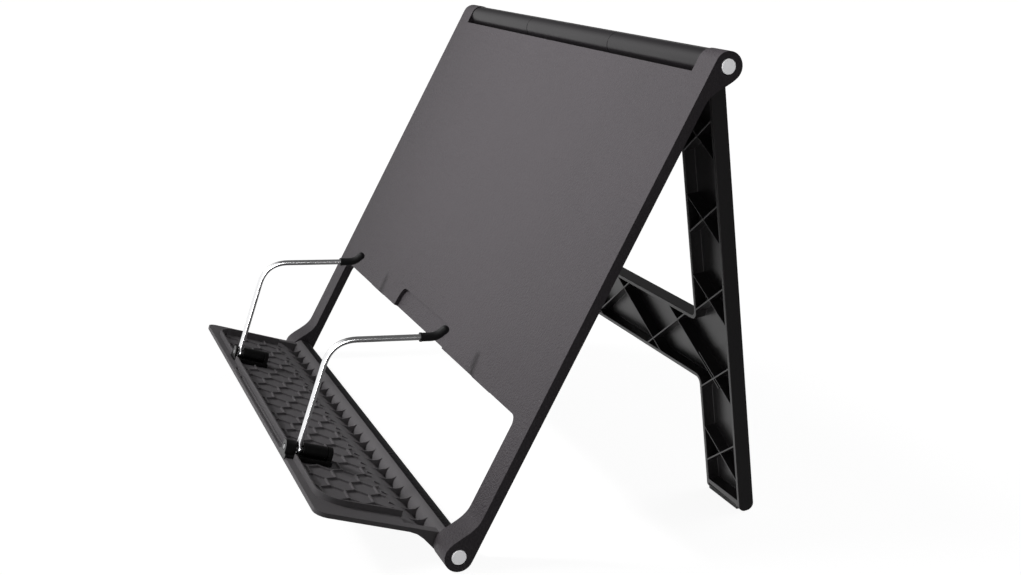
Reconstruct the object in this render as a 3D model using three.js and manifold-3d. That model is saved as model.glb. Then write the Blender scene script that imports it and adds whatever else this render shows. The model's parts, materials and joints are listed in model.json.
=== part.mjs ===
// Folding stand for a photo album or book: a moulded back panel with a window at its foot, an H-shaped rear
// leg hinged along the top edge, a shallow ribbed tray hinged along the bottom edge, and two wire page arms
// that swivel on the tray. Millimetres, +Z up, +X to the reader's right, -Y towards the reader.
// Each moving part is modelled in its own hinge frame and stands in a turned group.
import * as THREE from 'three';
import { mergeVertices } from 'three/addons/utils/BufferGeometryUtils.js';
import Module from 'manifold-3d';

const wasm = await Module();
wasm.setup();

// ---- driving dimensions ----------------------------------------------------------------------------
const STAND_WIDTH = 340;          // over the outer faces of the hinge lugs
const PIN_SPAN = 246.3;           // from the bottom hinge axis to the top one, along the panel
const LUG_RADIUS = 6.9;           // round ends of the side rails
const RAIL_WIDTH = 16.5;          // side rail across the stand
const RAIL_DEPTH = 5.2;           // side rail from front to back
const SKIN = 2.2;                 // front wall of the panel
const PANEL_TILT = 27.8;          // degrees that the panel leans back
const TRAY_ANGLE = 100;           // degrees between the open tray and the panel
const FOOT_TO_PIN = 23.5;          // from the folded leg's feet to the bottom hinge axis
const LEG_DEPTH = 7.8;            // leg channels from front to back
const POST_WIDTH = 33;            // each post, and the crossbar, across its channel
const CROSSBAR_TOP = 129.4;       // distance of the crossbar below the top hinge axis
const WINDOW_TOP = 65;            // height of the panel's window above the bottom hinge axis
const BARREL_RADIUS = 6.5;        // round hinge barrels of the leg and the tray
const COVER_WALL = 1.2;           // snap covers on the barrels
const COVER_SPAN = 112;           // length of the middle cover
const PIN_RADIUS = 2.15;          // steel hinge pins
const PIN_HEAD_RADIUS = 3.55;
const PIN_HEAD_DEPTH = 1.4;
const PIN_LENGTH = 29;
const BUSH_WALL = 1.15;           // friction bushes inside the barrels
const BUSH_LENGTH = 13.5;
const TRAY_FLOOR = 1.1;           // floor of the tray
const FLANGE_DEPTH = 2.2;         // thicker rim round the floor
const WALL_HEIGHT = 2.8;          // wall round the honeycomb, above the rim
const WALL = 1;
const WALL_CORNER = 12.5;         // the wall's corners, in plan
const RIB = 0.9;                  // honeycomb and lattice ribs
const RIB_HEIGHT = 1;             // honeycomb ribs above the floor
const CELL_PITCH = 12.9;          // honeycomb, from column to column
const CELL_DEPTH = 12.3;          // honeycomb, from cell to cell in a column
const CELL_POINT = 3.55;          // how far a cell's side corners stand out
const TROUGH_REACH = 21;          // where the floor starts to fall towards the barrel
const ARM_OFFSET = 81;            // page arms from the middle of the stand
const ARM_SEAT = 57.4;            // page arms from the bottom hinge axis, along the tray
const ARM_AXIS_HEIGHT = 7.45;     // swivel axis above the bottom hinge axis, square to the tray
const ARM_HEIGHT = 55.8;          // swivel axis to the arm's shoulder
const ARM_REACH = 51;             // shoulder to the hooked tip, along the tray
const ARM_RISE = 13.4;            // shoulder to the hooked tip, square to the tray
const WIRE_RADIUS = 1.5;
const TIP_WALL = 0.55;
const SLEEVE_RADIUS = 3.7;
const SWIVEL_PIN_RADIUS = 1.2;

// ---- clearances ------------------------------------------------------------------------------------
const GAP = 0.3;                  // between pieces that touch, and round every pin
const SIDE_GAP = 0.5;             // from the leg and the tray to the rails
const TRAY_GAP = 0.8;             // from the folded tray to the window's top edge
const FOLD_GAP = 0.8;             // from the panel's back to the folded leg

// ---- sizes that follow -----------------------------------------------------------------------------
const HALF_WIDTH = STAND_WIDTH / 2;
const RAIL_INNER = HALF_WIDTH - RAIL_WIDTH;
const INSIDE = RAIL_INNER - SIDE_GAP;
const PANEL_BACK = LUG_RADIUS;
const PANEL_FRONT = PANEL_BACK - RAIL_DEPTH;
const TOP_PIN_BACK = PANEL_FRONT + LUG_RADIUS;
const PLATE_TOP = PIN_SPAN - Math.max(LUG_RADIUS, BARREL_RADIUS) - GAP;
const LEG_LENGTH = PIN_SPAN - FOOT_TO_PIN;
const TRAY_DEPTH = WINDOW_TOP - TRAY_GAP;
const CORE_RADIUS = BARREL_RADIUS - COVER_WALL - GAP;
const BUSH_INNER = PIN_RADIUS + GAP;
const BUSH_OUTER = BUSH_INNER + BUSH_WALL;
const LEG_FRONT = PANEL_BACK + FOLD_GAP - TOP_PIN_BACK;
const LEG_BACK = LEG_FRONT + LEG_DEPTH;
const radians = (degrees) => THREE.MathUtils.degToRad(degrees);

// ---- solids and outlines ---------------------------------------------------------------------------
const ROUND = 24;

function toSolid(geometry) {
  const plain = geometry.index ? geometry.toNonIndexed() : geometry.clone();
  plain.deleteAttribute('normal');
  plain.deleteAttribute('uv');
  const merged = mergeVertices(plain, 1e-4);
  return new wasm.Manifold(new wasm.Mesh({
    numProp: 3,
    vertProperties: new Float32Array(merged.attributes.position.array),
    triVerts: new Uint32Array(merged.index.array),
  }));
}

function toGeometry(solid) {
  const mesh = solid.getMesh();
  const geometry = new THREE.BufferGeometry();
  geometry.setAttribute('position', new THREE.BufferAttribute(new Float32Array(mesh.vertProperties), 3));
  geometry.setIndex(new THREE.BufferAttribute(new Uint32Array(mesh.triVerts), 1));
  geometry.computeVertexNormals();
  return geometry;
}

const join = (...solids) => solids.reduce((sum, solid) => sum.add(solid));
const cut = (solid, ...tools) => tools.reduce((rest, tool) => rest.subtract(tool), solid);

// A closed outline through points [x, y, radius], each corner rounded by its radius.
function outline(points) {
  const shape = new THREE.Shape();
  points.forEach(([x, y, radius = 0], i) => {
    const corner = new THREE.Vector2(x, y);
    const before = new THREE.Vector2(...points.at(i - 1)).sub(corner).normalize();
    const after = new THREE.Vector2(...points[(i + 1) % points.length]).sub(corner).normalize();
    const half = Math.acos(THREE.MathUtils.clamp(before.dot(after), -1, 1)) / 2;
    const start = corner.clone().addScaledVector(before, radius / Math.tan(half));
    if (i === 0) shape.moveTo(start.x, start.y);
    else shape.lineTo(start.x, start.y);
    if (radius === 0) return;
    const centre = corner.clone().add(before.clone().add(after).setLength(radius / Math.sin(half)));
    const end = corner.clone().addScaledVector(after, radius / Math.tan(half));
    const clockwise = before.cross(after) > 0;
    shape.absarc(centre.x, centre.y, radius, start.sub(centre).angle(), end.sub(centre).angle(), clockwise);
  });
  shape.closePath();
  return shape;
}

const box2 = (x0, x1, y0, y1, radius = 0) => outline([
  [x0, y0, radius], [x1, y0, radius], [x1, y1, radius], [x0, y1, radius],
]);

// Outline in X and Z, from y0 to y1.
function frontPrism(shape, y0, y1, curveSegments = 2) {
  const geometry = new THREE.ExtrudeGeometry(shape, { depth: y1 - y0, bevelEnabled: false, curveSegments });
  return toSolid(geometry.rotateX(Math.PI / 2).translate(0, y1, 0));
}

// Outline in Y and Z, from x0 to x1.
function sidePrism(shape, x0, x1, curveSegments = 8) {
  const geometry = new THREE.ExtrudeGeometry(shape, { depth: x1 - x0, bevelEnabled: false, curveSegments });
  const turn = new THREE.Matrix4().makeBasis(
    new THREE.Vector3(0, 1, 0), new THREE.Vector3(0, 0, 1), new THREE.Vector3(1, 0, 0));
  return toSolid(geometry.applyMatrix4(turn).translate(x0, 0, 0));
}

// Outline in X and Y, from z0 to z1.
function topPrism(shape, z0, z1, curveSegments = 2) {
  const geometry = new THREE.ExtrudeGeometry(shape, { depth: z1 - z0, bevelEnabled: false, curveSegments });
  return toSolid(geometry.translate(0, 0, z0));
}

function block(x0, x1, y0, y1, z0, z1) {
  const geometry = new THREE.BoxGeometry(x1 - x0, y1 - y0, z1 - z0);
  return toSolid(geometry.translate((x0 + x1) / 2, (y0 + y1) / 2, (z0 + z1) / 2));
}

function rodX(radius, x0, x1, y = 0, z = 0, sides = ROUND) {
  const geometry = new THREE.CylinderGeometry(radius, radius, x1 - x0, sides).rotateZ(Math.PI / 2);
  return toSolid(geometry.translate((x0 + x1) / 2, y, z));
}

function rodY(radius, y0, y1, x = 0, z = 0, sides = 16) {
  const geometry = new THREE.CylinderGeometry(radius, radius, y1 - y0, sides);
  return toSolid(geometry.translate(x, (y0 + y1) / 2, z));
}

// Part of a ring round the hinge axis, between two angles in degrees from +Y towards +Z.
function ringSector(inner, outer, from, to, x0, x1) {
  const shape = new THREE.Shape();
  shape.absarc(0, 0, outer, radians(from), radians(to), false);
  shape.absarc(0, 0, inner, radians(to), radians(from), true);
  shape.closePath();
  return sidePrism(shape, x0, x1, 10);
}

const mirrorX = (solid) => solid.mirror([1, 0, 0]);
const SIDES = [['left', -1], ['right', 1]];

// ---- finishes --------------------------------------------------------------------------------------
const FINISHES = {
  panel: { color: 0x5f5b5d, roughness: 0.62, metalness: 0 },
  frame: { color: 0x3a393a, roughness: 0.5, metalness: 0 },
  cover: { color: 0x504e50, roughness: 0.48, metalness: 0 },
  rubber: { color: 0x8d8c8c, roughness: 0.85, metalness: 0 },
  nylon: { color: 0xd8d5cc, roughness: 0.4, metalness: 0 },
  steel: { color: 0xc9cacc, roughness: 0.25, metalness: 1 },
  chrome: { color: 0xe6e8ea, roughness: 0.08, metalness: 1 },
  pivot: { color: 0x151515, roughness: 0.4, metalness: 0 },
};

function addPiece(group, name, solid, finish) {
  const mesh = new THREE.Mesh(toGeometry(solid), new THREE.MeshStandardMaterial(FINISHES[finish]));
  mesh.name = name;
  group.add(mesh);
}

// ---- back panel: bottom hinge axis at the origin, Z up the panel, Y to its back ---------------------
const SWEEP_HEIGHT = 20;          // where a rail starts to bend towards its lug
const SWEEP_ANGLE = 20;           // where the bend meets the lug's circle
const FILLET = 4.5;               // corners of the window

// Side view of a rail. Its lower half is its upper half turned round: the bottom lug stands out in front
// and the top lug behind, each lying flush with the rail's other face.
function railProfile() {
  const turnEnd = (y, z) => [TOP_PIN_BACK - y, PIN_SPAN - z];
  const lift = radians(SWEEP_ANGLE);
  const meet = [TOP_PIN_BACK + LUG_RADIUS * Math.cos(lift), PIN_SPAN - LUG_RADIUS * Math.sin(lift)];
  const lead = [meet[0] - 6.2 * Math.sin(lift), meet[1] - 6.2 * Math.cos(lift)];
  const start = [PANEL_BACK, PIN_SPAN - SWEEP_HEIGHT];
  const rise = [PANEL_BACK, PIN_SPAN - SWEEP_HEIGHT + 7.2];
  const shape = new THREE.Shape();
  shape.moveTo(PANEL_BACK, 0);
  shape.lineTo(...start);
  shape.bezierCurveTo(...rise, ...lead, ...meet);
  shape.absarc(TOP_PIN_BACK, PIN_SPAN, LUG_RADIUS, -lift, Math.PI, false);
  shape.lineTo(...turnEnd(...start));
  shape.bezierCurveTo(...turnEnd(...rise), ...turnEnd(...lead), ...turnEnd(...meet));
  shape.absarc(0, 0, LUG_RADIUS, Math.PI - lift, 2 * Math.PI, false);
  shape.closePath();
  return shape;
}

// Bore through a lug with a counterbore for the pin's head, on the stand's right.
function lugBore(y, z) {
  const headFloor = HALF_WIDTH - PIN_HEAD_DEPTH - GAP;
  return join(
    rodX(PIN_RADIUS + GAP, RAIL_INNER - 1, HALF_WIDTH + 1, y, z),
    rodX(PIN_HEAD_RADIUS + GAP, headFloor, HALF_WIDTH + 1, y, z),
  );
}

function backPanel() {
  const overlap = RAIL_INNER + 1;
  const corner = RAIL_INNER - FILLET;
  const plate = new THREE.Shape();
  plate.moveTo(overlap, WINDOW_TOP - FILLET);
  plate.lineTo(overlap, PLATE_TOP);
  plate.lineTo(-overlap, PLATE_TOP);
  plate.lineTo(-overlap, WINDOW_TOP - FILLET);
  plate.lineTo(-RAIL_INNER, WINDOW_TOP - FILLET);
  plate.absarc(-corner, WINDOW_TOP - FILLET, FILLET, Math.PI, Math.PI / 2, true);
  plate.lineTo(corner, WINDOW_TOP);
  plate.absarc(corner, WINDOW_TOP - FILLET, FILLET, Math.PI / 2, 0, true);
  plate.closePath();

  const rail = sidePrism(railProfile(), RAIL_INNER, HALF_WIDTH, 10);
  const body = join(
    frontPrism(plate, PANEL_FRONT, PANEL_BACK, 6), rail, mirrorX(rail), ...latchTabs());
  const bores = [lugBore(0, 0), lugBore(TOP_PIN_BACK, PIN_SPAN)];
  return cut(body, ...bores, ...bores.map(mirrorX), fingerRecess(), backPockets());
}

// Low stops on the window's top edge that the folded tray closes against.
const TAB_SPANS = [[-97, -71], [91, 116]];

function latchTabs() {
  const drop = TRAY_GAP - GAP;
  return TAB_SPANS.map(([x0, x1]) =>
    block(x0, x1, PANEL_FRONT + 1, PANEL_BACK - 1, WINDOW_TOP - drop, WINDOW_TOP + 1));
}

// Thumb recess in the front face, above the window, for opening the folded tray.
const RECESS_HALF = 43;
const RECESS_HEIGHT = 12;
const RECESS_DEPTH = 2.2;

function fingerRecess() {
  const shape = outline([
    [-RECESS_HALF - 2, WINDOW_TOP - 1], [RECESS_HALF + 2, WINDOW_TOP - 1],
    [RECESS_HALF, WINDOW_TOP + RECESS_HEIGHT, 6], [-RECESS_HALF, WINDOW_TOP + RECESS_HEIGHT, 6],
  ]);
  return frontPrism(shape, PANEL_FRONT - 1, PANEL_FRONT + RECESS_DEPTH);
}

// Grid of shallow pockets in the back, which leaves the stiffening ribs.
function backPockets() {
  const columns = 6;
  const rows = 3;
  const border = 7;
  const rib = 2;
  const left = -RAIL_INNER + border;
  const low = WINDOW_TOP + RECESS_HEIGHT + border;
  const width = (2 * (RAIL_INNER - border) + rib) / columns;
  const height = (PLATE_TOP - border - low + rib) / rows;
  const shapes = [];
  for (let column = 0; column < columns; column += 1) {
    for (let row = 0; row < rows; row += 1) {
      const x = left + column * width;
      const z = low + row * height;
      shapes.push(box2(x, x + width - rib, z, z + height - rib, 4));
    }
  }
  return frontPrism(shapes, PANEL_FRONT + SKIN, PANEL_BACK + 1, 1);
}

// ---- hinge barrels, shared by the leg and the tray ---------------------------------------------------
// The body keeps half of the barrel; three snap covers make the other half.
function barrelBody(bodyFrom) {
  const half = ringSector(CORE_RADIUS - 1, BARREL_RADIUS, bodyFrom, bodyFrom + 180, -INSIDE, INSIDE);
  const bore = rodX(BUSH_OUTER + GAP, INSIDE - BUSH_LENGTH - GAP, INSIDE + 1);
  return { solid: join(rodX(CORE_RADIUS, -INSIDE, INSIDE), half), bores: [bore, mirrorX(bore)] };
}

function addBarrelCovers(group, prefix, coverFrom, finish) {
  const edge = COVER_SPAN / 2;
  const lip = 1.5;
  const spans = { left: [-INSIDE, -edge - GAP], middle: [-edge, edge], right: [edge + GAP, INSIDE] };
  for (const [place, [x0, x1]] of Object.entries(spans)) {
    const cover = ringSector(
      CORE_RADIUS + GAP, BARREL_RADIUS, coverFrom + 2 * lip, coverFrom + 180 - 2 * lip, x0, x1);
    addPiece(group, `${prefix}_barrel_cover_${place}`, cover, finish);
  }
}

function addPinsAndBushes(group, bushGroup, prefix, y, z) {
  for (const [side, sign] of SIDES) {
    const place = (solid) => (sign > 0 ? solid : mirrorX(solid));
    const pin = join(
      rodX(PIN_HEAD_RADIUS, HALF_WIDTH - PIN_HEAD_DEPTH, HALF_WIDTH, y, z),
      rodX(PIN_RADIUS, HALF_WIDTH - PIN_LENGTH, HALF_WIDTH - 0.5, y, z),
    );
    addPiece(group, `${prefix}_hinge_pin_${side}`, place(pin), 'steel');
    const bush = cut(
      rodX(BUSH_OUTER, INSIDE - BUSH_LENGTH, INSIDE),
      rodX(BUSH_INNER, INSIDE - BUSH_LENGTH - 1, INSIDE + 1),
    );
    addPiece(bushGroup, `${prefix}_friction_bush_${side}`, place(bush), 'nylon');
  }
}

// ---- rear leg: top hinge axis at the origin, Z up the leg, Y to its back -----------------------------
const POST_INNER = INSIDE - POST_WIDTH;
const CHANNEL_WALL = 2;
const CHANNEL_FLOOR = 1.8;
const FOOT_WALL = 2.6;
const PAD_HEIGHT = 3.2;           // rubber pad in the foot, along the leg
const PAD_DEPTH = 3.9;            // rubber pad from front to back
const PAD_PROUD = 0.4;            // how far the pad stands out below the foot
const PAD_ROUND = 0.8;
const FOOT_SIDE = 3.2;            // solid outer side of the foot
const LATTICE_SLOPE = 32;         // degrees between a lattice rib and the crossbar
const LATTICE_PITCH = 40.4;
const LATTICE_FIRST = 35.6;
const BAR_STEP = 0.235;           // crossbar ribs, as a share of the way to the middle of a post
const BAR_RIBS = [[0.64, 1], [1.66, -1], [2.66, 1], [3.6, -1]];   // steps from the middle, and slope

const CROSSBAR_BOTTOM = CROSSBAR_TOP + POST_WIDTH;
const TOP_PIN_HEIGHT = LUG_RADIUS
  + PIN_SPAN * Math.cos(radians(PANEL_TILT)) - TOP_PIN_BACK * Math.sin(radians(PANEL_TILT));
const LEG_LEAN = legLean();

// The leg leans back until the pads in its feet stand level with the bottom lugs.
function legLean() {
  const along = LEG_LENGTH + PAD_PROUD;
  const across = LEG_FRONT + PAD_DEPTH;
  return Math.acos(TOP_PIN_HEIGHT / Math.hypot(along, across)) - Math.atan2(across, along);
}

function legOutline() {
  const round = 3;
  return outline([
    [-INSIDE, 0], [-INSIDE, -LEG_LENGTH], [-POST_INNER, -LEG_LENGTH],
    [-POST_INNER, -CROSSBAR_BOTTOM, round], [POST_INNER, -CROSSBAR_BOTTOM, round],
    [POST_INNER, -LEG_LENGTH], [INSIDE, -LEG_LENGTH], [INSIDE, 0],
    [POST_INNER, 0], [POST_INNER, -CROSSBAR_TOP, round], [-POST_INNER, -CROSSBAR_TOP, round],
    [-POST_INNER, 0],
  ]);
}

// Side view of a post: round at the foot, and swept into the barrel at the top.
function legSideOutline() {
  return outline([
    [LEG_FRONT, BARREL_RADIUS * 0.6], [LEG_FRONT, -LEG_LENGTH, 3], [LEG_BACK, -LEG_LENGTH, 3.6],
    [LEG_BACK, BARREL_RADIUS * 0.6, 4.5],
  ]);
}

// Everything inside the channels: the two posts and the crossbar, joined as one H.
function channelOutline() {
  const outer = INSIDE - CHANNEL_WALL;
  const inner = POST_INNER + CHANNEL_WALL;
  const top = -BARREL_RADIUS - CHANNEL_WALL;
  const foot = -(LEG_LENGTH - PAD_HEIGHT - FOOT_WALL);
  const barTop = -CROSSBAR_TOP - CHANNEL_WALL;
  const barBottom = -CROSSBAR_BOTTOM + CHANNEL_WALL;
  return outline([
    [-outer, top], [-outer, foot], [-inner, foot], [-inner, barBottom, 5], [inner, barBottom, 5],
    [inner, foot], [outer, foot], [outer, top], [inner, top], [inner, barTop, 5], [-inner, barTop, 5],
    [-inner, top],
  ]);
}

// A lattice rib through (x, -down), sloping up to the right for rise = 1 and down for rise = -1.
function latticeRib(x, down, length, rise) {
  const depth = LEG_DEPTH - CHANNEL_FLOOR / 2;
  const rib = new THREE.BoxGeometry(length, depth, RIB).rotateY(-rise * radians(LATTICE_SLOPE));
  return toSolid(rib.translate(x, LEG_FRONT + depth / 2, -down));
}

function lattice() {
  const postMiddle = (POST_INNER + INSIDE) / 2;
  const barMiddle = CROSSBAR_TOP + POST_WIDTH / 2;
  const postRib = POST_WIDTH / Math.cos(radians(LATTICE_SLOPE)) - 2 * CHANNEL_WALL;
  const barRib = POST_WIDTH / Math.sin(radians(LATTICE_SLOPE)) - 2 * CHANNEL_WALL;
  const ribs = [];
  for (let down = LATTICE_FIRST; down < LEG_LENGTH - POST_WIDTH / 2; down += LATTICE_PITCH) {
    for (const rise of [-1, 1]) ribs.push(latticeRib(postMiddle, down, postRib, rise));
  }
  const barStep = postMiddle * BAR_STEP;
  BAR_RIBS.forEach(([steps, rise]) => {
    ribs.push(latticeRib(steps * barStep, barMiddle, barRib, rise));
  });
  const right = join(...ribs);
  return join(right, mirrorX(right));
}

function padPocket() {
  return block(
    POST_INNER + CHANNEL_WALL - GAP, INSIDE - FOOT_SIDE - GAP, LEG_FRONT - 1, LEG_FRONT + PAD_DEPTH + GAP,
    -LEG_LENGTH - 1, -LEG_LENGTH + PAD_HEIGHT);
}

// The pad's underside is level when the stand is open.
function footPad() {
  const low = -LEG_LENGTH - PAD_PROUD;
  const top = -LEG_LENGTH + PAD_HEIGHT - GAP;
  const back = LEG_FRONT + PAD_DEPTH;
  const shape = outline([
    [LEG_FRONT, low + PAD_DEPTH * Math.tan(LEG_LEAN), PAD_ROUND], [back, low], [back, top], [LEG_FRONT, top],
  ]);
  return sidePrism(shape, POST_INNER + CHANNEL_WALL, INSIDE - FOOT_SIDE - 2 * GAP, 3);
}

function legFrame() {
  const barrel = barrelBody(-90);
  const whole = frontPrism(legOutline(), LEG_FRONT, LEG_BACK)
    .intersect(sidePrism(legSideOutline(), -HALF_WIDTH, HALF_WIDTH));
  const notch = box2(-BARREL_RADIUS, 0, -BARREL_RADIUS * 0.75, BARREL_RADIUS * 0.95);
  const sleeve = sidePrism(notch, -INSIDE, INSIDE);
  const channels = frontPrism(channelOutline(), LEG_FRONT - 1, LEG_BACK - CHANNEL_FLOOR);
  const pocket = padPocket();
  const frame = cut(
    join(cut(whole, sleeve), barrel.solid), cut(channels, lattice()), pocket, mirrorX(pocket));
  return cut(frame, coverBed(90), ...barrel.bores);
}

// Space swept by the barrel covers, with their gap, so that nothing else of the body reaches into it.
function coverBed(coverFrom) {
  return ringSector(CORE_RADIUS, BARREL_RADIUS + GAP, coverFrom, coverFrom + 180, -INSIDE - 1, INSIDE + 1);
}

// ---- tray: bottom hinge axis at the origin, -Y to its front edge, Z square to its floor --------------
const FLOOR_LOW = PANEL_FRONT;
const FLOOR_TOP = FLOOR_LOW + TRAY_FLOOR;
const RIB_TOP = FLOOR_TOP + RIB_HEIGHT;
const FLANGE_TOP = FLOOR_LOW + FLANGE_DEPTH;
const WALL_TOP = FLANGE_TOP + WALL_HEIGHT;
const FLANGE = 3.9;               // flat rim in front of the wall
const END_FLANGE = 12.5;          // flat rim at each end
const END_WEB = 5;                // solid part of the tray's ends, beside the trough
const CORNER = 6;
const WALL_FRONT = TRAY_DEPTH - FLANGE;
const WALL_END = INSIDE - END_FLANGE;
const TRAY_COVER_FROM = -70;

// Side view of the underside: flat from the front, then sweeping down to run into the barrel.
function sweepUnder(shape, front) {
  const meet = radians(52);
  shape.moveTo(front, FLOOR_LOW);
  shape.lineTo(-TROUGH_REACH + 2, FLOOR_LOW);
  shape.bezierCurveTo(
    -TROUGH_REACH + 7.5, FLOOR_LOW, -1.5 * BARREL_RADIUS, -BARREL_RADIUS / 4,
    -BARREL_RADIUS * Math.cos(meet), -BARREL_RADIUS * Math.sin(meet));
}

// Side view of the floor, which falls into a trough in front of the barrel.
function floorProfile() {
  const shape = new THREE.Shape();
  sweepUnder(shape, -TRAY_DEPTH);
  shape.lineTo(-CORE_RADIUS / 2, -CORE_RADIUS / 2);
  shape.lineTo(-CORE_RADIUS, -CORE_RADIUS / 2);
  shape.bezierCurveTo(
    -1.5 * BARREL_RADIUS, 0, -TROUGH_REACH + 7, FLOOR_TOP, -TROUGH_REACH + 1, FLOOR_TOP);
  shape.lineTo(-TRAY_DEPTH, FLOOR_TOP);
  shape.closePath();
  return shape;
}

// Side view of the tray's ends: level on top, all the way to the barrel.
function endProfile() {
  const shape = new THREE.Shape();
  sweepUnder(shape, -TRAY_DEPTH);
  shape.lineTo(-CORE_RADIUS / 2, 0);
  shape.lineTo(-CORE_RADIUS, FLANGE_TOP);
  shape.lineTo(-TRAY_DEPTH, FLANGE_TOP);
  shape.closePath();
  return shape;
}

function honeycomb() {
  const half = (CELL_PITCH - CELL_POINT) / 2 - RIB / 2;
  const point = half + CELL_POINT;
  const reach = (CELL_DEPTH - RIB) / 2;
  const columns = Math.floor((2 * (WALL_END - WALL)) / CELL_PITCH) + 1;
  const cells = [];
  for (let column = 0; column < columns; column += 1) {
    const x = (column - (columns - 1) / 2) * CELL_PITCH;
    const first = -WALL_FRONT - (column % 2) * CELL_DEPTH / 2;
    for (let y = first; y < -TROUGH_REACH + CELL_DEPTH; y += CELL_DEPTH) {
      cells.push(outline([
        [x - half, y - reach], [x + half, y - reach], [x + point, y],
        [x + half, y + reach], [x - half, y + reach], [x - point, y],
      ]));
    }
  }
  const reachBack = -TROUGH_REACH + 0.5;
  const inside = wallPlan(WALL / 2, reachBack);
  return cut(topPrism(inside, FLOOR_TOP - 0.2, RIB_TOP), topPrism(cells, FLOOR_TOP - 1, RIB_TOP + 1));
}

// Thin curved ribs that carry the honeycomb on across the trough to the barrel.
function troughRibs() {
  const count = Math.floor((2 * (WALL_END - WALL)) / CELL_PITCH);
  const meet = radians(37);
  const shape = new THREE.Shape();
  sweepUnder(shape, -TROUGH_REACH);
  shape.lineTo(-CORE_RADIUS / 2, -CORE_RADIUS / 2);
  shape.lineTo(-BARREL_RADIUS * Math.cos(meet), BARREL_RADIUS * Math.sin(meet));
  shape.quadraticCurveTo(-1.5 * BARREL_RADIUS, -0.5, -TROUGH_REACH, RIB_TOP);
  shape.closePath();
  const ribs = [];
  for (let i = 0; i <= count; i += 1) {
    const x = (i - count / 2) * CELL_PITCH;
    ribs.push(sidePrism(shape, x - RIB / 2, x + RIB / 2, 5));
  }
  return join(...ribs);
}

// Plan of the wall's outer face, moved inwards by an inset, open towards the hinge.
function wallPlan(inset, back) {
  const x = WALL_END - inset;
  const front = -WALL_FRONT + inset;
  const radius = WALL_CORNER - inset;
  return outline([[-x, back], [-x, front, radius], [x, front, radius], [x, back]]);
}

function trayWall() {
  const back = -TROUGH_REACH + 1;
  return cut(
    topPrism(wallPlan(0, back), FLOOR_TOP - 0.5, WALL_TOP, 3),
    topPrism(wallPlan(WALL, back + 1), FLOOR_TOP - 1, WALL_TOP + 1, 3));
}

// The thicker rim: all of the plan outside the wall, and the ends on to the barrel.
function flange(plan) {
  const inside = topPrism(wallPlan(WALL / 2, CORNER), FLOOR_LOW - 1, FLANGE_TOP + 1);
  const rim = cut(topPrism(plan, FLOOR_LOW, FLANGE_TOP), inside);
  const back = block(-INSIDE, INSIDE, -TROUGH_REACH, 2 * LUG_RADIUS, FLOOR_LOW - 1, FLANGE_TOP + 1);
  const web = sidePrism(endProfile(), INSIDE - END_WEB, INSIDE, 4);
  const solidPlan = topPrism(plan, -2 * LUG_RADIUS, 2 * LUG_RADIUS);
  return join(cut(rim, back), web.intersect(solidPlan), mirrorX(web).intersect(solidPlan));
}

// Cuts in the front rim: a long groove between the arms, and a slot beside the left one.
const GROOVE = { from: -43, to: 66, half: 0.9, depth: 0.8 };
const SLOT = { from: -60, to: -46, front: 0.2, back: 1.2 };

function rimCuts() {
  const middle = -TRAY_DEPTH + FLANGE / 2;
  const groove = [middle - GROOVE.half, middle + GROOVE.half, FLANGE_TOP - GROOVE.depth, FLANGE_TOP + 1];
  const slot = [middle - SLOT.front, middle + SLOT.back, FLOOR_LOW - 1, FLANGE_TOP + 1];
  return [block(GROOVE.from, GROOVE.to, ...groove), block(SLOT.from, SLOT.to, ...slot)];
}

// Room for the arms' brackets in the ribs, the wall and the rim.
function armSeats() {
  const half = BRACKET_HALF + GAP;
  return SIDES.map(([side, sign]) => {
    const x = sign * ARM_OFFSET;
    const front = -ARM_SEAT - BRACKET_FRONT[side] - GAP;
    return block(x - half, x + half, front, -ARM_SEAT + BRACKET_BACK + GAP, FLOOR_TOP, WALL_TOP + 1);
  });
}

function tray() {
  const barrel = barrelBody(TRAY_COVER_FROM + 180);
  const plan = outline([
    [-INSIDE, BARREL_RADIUS], [-INSIDE, -TRAY_DEPTH, CORNER], [INSIDE, -TRAY_DEPTH, CORNER],
    [INSIDE, BARREL_RADIUS],
  ]);
  const floor = sidePrism(floorProfile(), -INSIDE, INSIDE, 4)
    .intersect(topPrism(plan, -2 * LUG_RADIUS, 2 * LUG_RADIUS));
  const body = cut(
    join(floor, flange(plan), trayWall(), honeycomb(), troughRibs()), ...armSeats(), ...rimCuts());
  return cut(join(body, barrel.solid), coverBed(TRAY_COVER_FROM), ...barrel.bores);
}

// ---- page arms: swivel axis along the tray's Y -------------------------------------------------------
const BRACKET_HALF = 6;
const BRACKET_BACK = 17;          // rear end of a bracket, behind the wire
const BRACKET_FRONT = { left: 3.2, right: 7.2 };   // front end of each bracket, ahead of the wire
const BASE_HEIGHT = 2.2;
const EAR = 2.4;
const EYE_RADIUS = 3.3;
const BEND_RADIUS = 13;
const HOOK = { reach: 4.9, rise: 5.4 };   // the hooked end of the tip

// Centre line of an arm in Y and Z of the tray: up from the eye, over towards the panel, then a hooked tip.
function armPath() {
  const foot = new THREE.Vector3(0, -ARM_SEAT, ARM_AXIS_HEIGHT);
  const shoulder = foot.clone().add(new THREE.Vector3(0, 0, ARM_HEIGHT));
  const hook = shoulder.clone().add(new THREE.Vector3(0, ARM_REACH, ARM_RISE));
  const end = hook.clone().add(new THREE.Vector3(0, HOOK.reach, HOOK.rise));
  return { foot, shoulder, hook, end };
}

function towards(from, to, distance) {
  return from.clone().add(to.clone().sub(from).setLength(distance));
}

function sweep(curves, radius, sides, steps) {
  const path = new THREE.CurvePath();
  curves.forEach((curve) => path.add(curve));
  const circle = new THREE.Shape();
  circle.absarc(0, 0, radius, 0, 2 * Math.PI, false);
  return toSolid(new THREE.ExtrudeGeometry(circle, {
    steps, extrudePath: path, bevelEnabled: false, curveSegments: sides / 2,
  }));
}

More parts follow.
